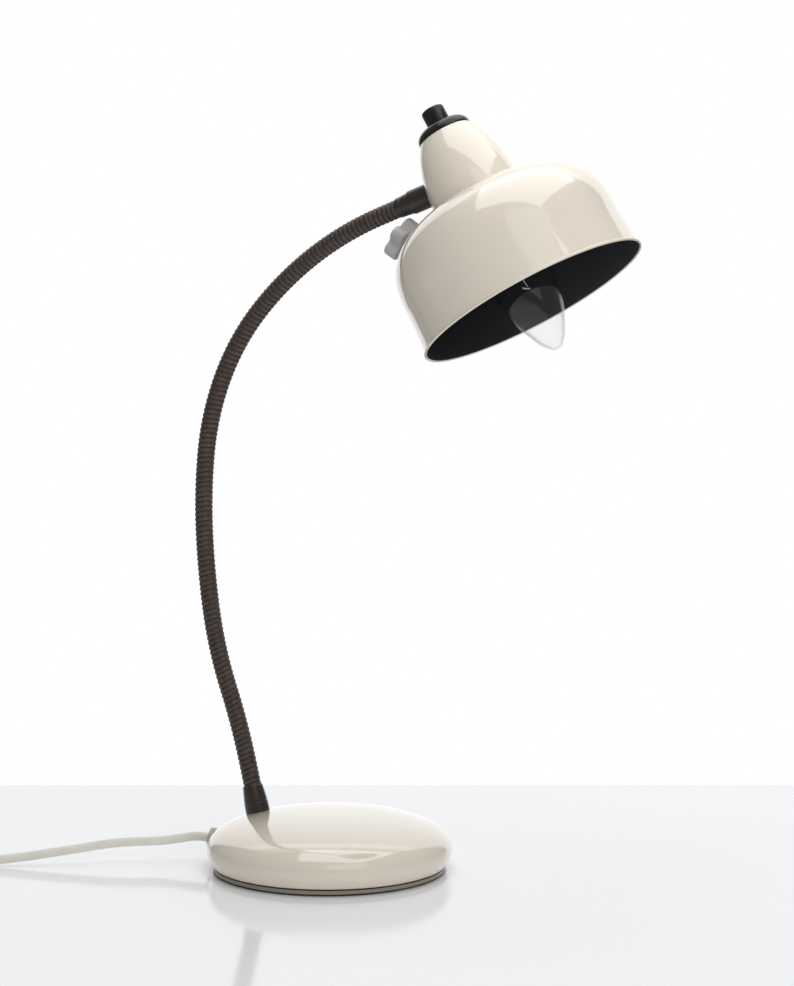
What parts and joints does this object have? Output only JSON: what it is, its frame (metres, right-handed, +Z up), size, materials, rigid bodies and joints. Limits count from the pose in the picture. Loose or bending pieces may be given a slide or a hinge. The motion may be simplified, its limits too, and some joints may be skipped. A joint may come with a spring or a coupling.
{
  "type": "desk lamp",
  "caption": "Desk lamp with a weighted pebble base, a ribbed gooseneck arm, a tilting bell shade with an aiming knob and a push button, a candle bulb and a coiled cord with plug.",
  "frame": {"origin": "centre of the base's underside, on the surface that the lamp stands on", "axes": "+Z up; +X from the base towards the shade, in the plane of the arm; +Y to the lamp's left"},
  "size_m": [0.4859, 0.1836, 0.4308],
  "materials": {
    "cream_paint": "gloss enamel",
    "iron": "rough cast",
    "khaki_paint": "satin",
    "pad_rubber": "matt",
    "zinc_steel": "zinc plated",
    "brass": "plain",
    "brown_ferrule": "gloss",
    "brown_hose": "satin lacquer",
    "lead_sheath": "smooth",
    "ivory_cord": "satin",
    "grey_grommet": "satin",
    "white_plastic": "satin",
    "black_plastic": "satin",
    "black_gloss": "gloss",
    "grey_plastic": "satin",
    "clear_glass": "clear",
    "plated_pins": "bright nickel"
  },
  "bodies": {
    "base": {"base_shell": "cream_paint", "base_weight": "iron", "base_plate": "khaki_paint", "base_pad": "pad_rubber", "tie_bolt": "zinc_steel", "cord_grommet": "grey_grommet", "cord_inner": "ivory_cord", "cord_anchor": "white_plastic", "base_screws": "brass", "terminal_block": "white_plastic", "foot_ferrule": "brown_ferrule", "foot_nipple": "brass", "foot_washer": "zinc_steel", "foot_nut": "brass", "base_lead": "lead_sheath", "arm_root": "brown_hose", "cord_run": "ivory_cord", "cord_coil": "ivory_cord", "plug_relief": "ivory_cord", "plug_body": "ivory_cord", "plug_pins": "plated_pins"},
    "link_1": {"arm_link_1": "brown_hose", "arm_lead_1": "lead_sheath"},
    "link_2": {"arm_link_2": "brown_hose", "arm_lead_2": "lead_sheath"},
    "link_3": {"arm_link_3": "brown_hose", "arm_lead_3": "lead_sheath"},
    "link_4": {"arm_link_4": "brown_hose", "arm_lead_4": "lead_sheath"},
    "link_5": {"arm_link_5": "brown_hose", "arm_lead_5": "lead_sheath"},
    "link_6": {"arm_link_6": "brown_hose", "arm_lead_6": "lead_sheath"},
    "link_7": {"arm_link_7": "brown_hose", "arm_lead_7": "lead_sheath"},
    "link_8": {"arm_link_8": "brown_hose", "arm_lead_8": "lead_sheath"},
    "head": {"arm_tip": "brown_hose", "head_ferrule": "brown_ferrule", "head_nipple": "brass", "head_nut": "brass", "head_lead": "lead_sheath", "neck_cover": "cream_paint", "shade": "cream_paint", "shade_rivets": "zinc_steel", "holder_body": "black_plastic", "holder_collar": "black_gloss", "thread_shell": "brass", "centre_contact": "brass", "button_spring": "zinc_steel", "knob_washer": "zinc_steel", "knob_nut": "zinc_steel"},
    "button": {"push_button": "black_gloss"},
    "knob": {"aiming_knob": "grey_plastic", "knob_stud": "zinc_steel"},
    "bulb": {"bulb_glass": "clear_glass", "bulb_cap": "brass", "bulb_stem": "clear_glass", "bulb_filament": "zinc_steel"}
  },
  "joints": [
    {"name": "arm_bend_1", "type": "hinge", "parent": "base", "child": "link_1", "pos_m": [-0.05271, 0, 0.05593], "axis": [0, -1, 0], "range_deg": [-15, 15]},
    {"name": "arm_swing_2", "type": "hinge", "parent": "link_1", "child": "link_2", "pos_m": [-0.06557, 0, 0.10007], "axis": [-0.9426, 0, -0.3338], "range_deg": [-15, 15]},
    {"name": "arm_bend_3", "type": "hinge", "parent": "link_2", "child": "link_3", "pos_m": [-0.07669, 0, 0.14464], "axis": [0, -1, 0], "range_deg": [-15, 15]},
    {"name": "arm_swing_4", "type": "hinge", "parent": "link_3", "child": "link_4", "pos_m": [-0.08109, 0, 0.1904], "axis": [-0.999, 0, -0.0436], "range_deg": [-15, 15]},
    {"name": "arm_bend_5", "type": "hinge", "parent": "link_4", "child": "link_5", "pos_m": [-0.07969, 0, 0.23634], "axis": [0, -1, 0], "range_deg": [-15, 15]},
    {"name": "arm_swing_6", "type": "hinge", "parent": "link_5", "child": "link_6", "pos_m": [-0.06821, 0, 0.28071], "axis": [-0.9205, 0, 0.3907], "range_deg": [-15, 15]},
    {"name": "arm_bend_7", "type": "hinge", "parent": "link_6", "child": "link_7", "pos_m": [-0.04361, 0, 0.31933], "axis": [0, -1, 0], "range_deg": [-15, 15]},
    {"name": "arm_swing_8", "type": "hinge", "parent": "link_7", "child": "link_8", "pos_m": [-0.00898, 0, 0.34943], "axis": [-0.5592, 0, 0.829], "range_deg": [-15, 15]},
    {"name": "arm_bend_9", "type": "hinge", "parent": "link_8", "child": "head", "pos_m": [0.0319, 0, 0.37026], "axis": [0, -1, 0], "range_deg": [-15, 15]},
    {"name": "button_press", "type": "slide", "parent": "head", "child": "button", "axis": [0.4967, 0, -0.8679], "range_m": [0, 0.003], "stiffness_N_per_m": 400, "springref_m": -0.003, "deforming": ["button_spring"]},
    {"name": "knob_turn", "type": "hinge", "parent": "head", "child": "knob", "pos_m": [0.05392, 0, 0.35199], "axis": [-0.835, 0, 0.5503], "continuous": true},
    {"name": "bulb_pull", "type": "slide", "parent": "head", "child": "bulb", "axis": [0.4967, 0, -0.8679], "range_m": [0, 0.026]}
  ]
}
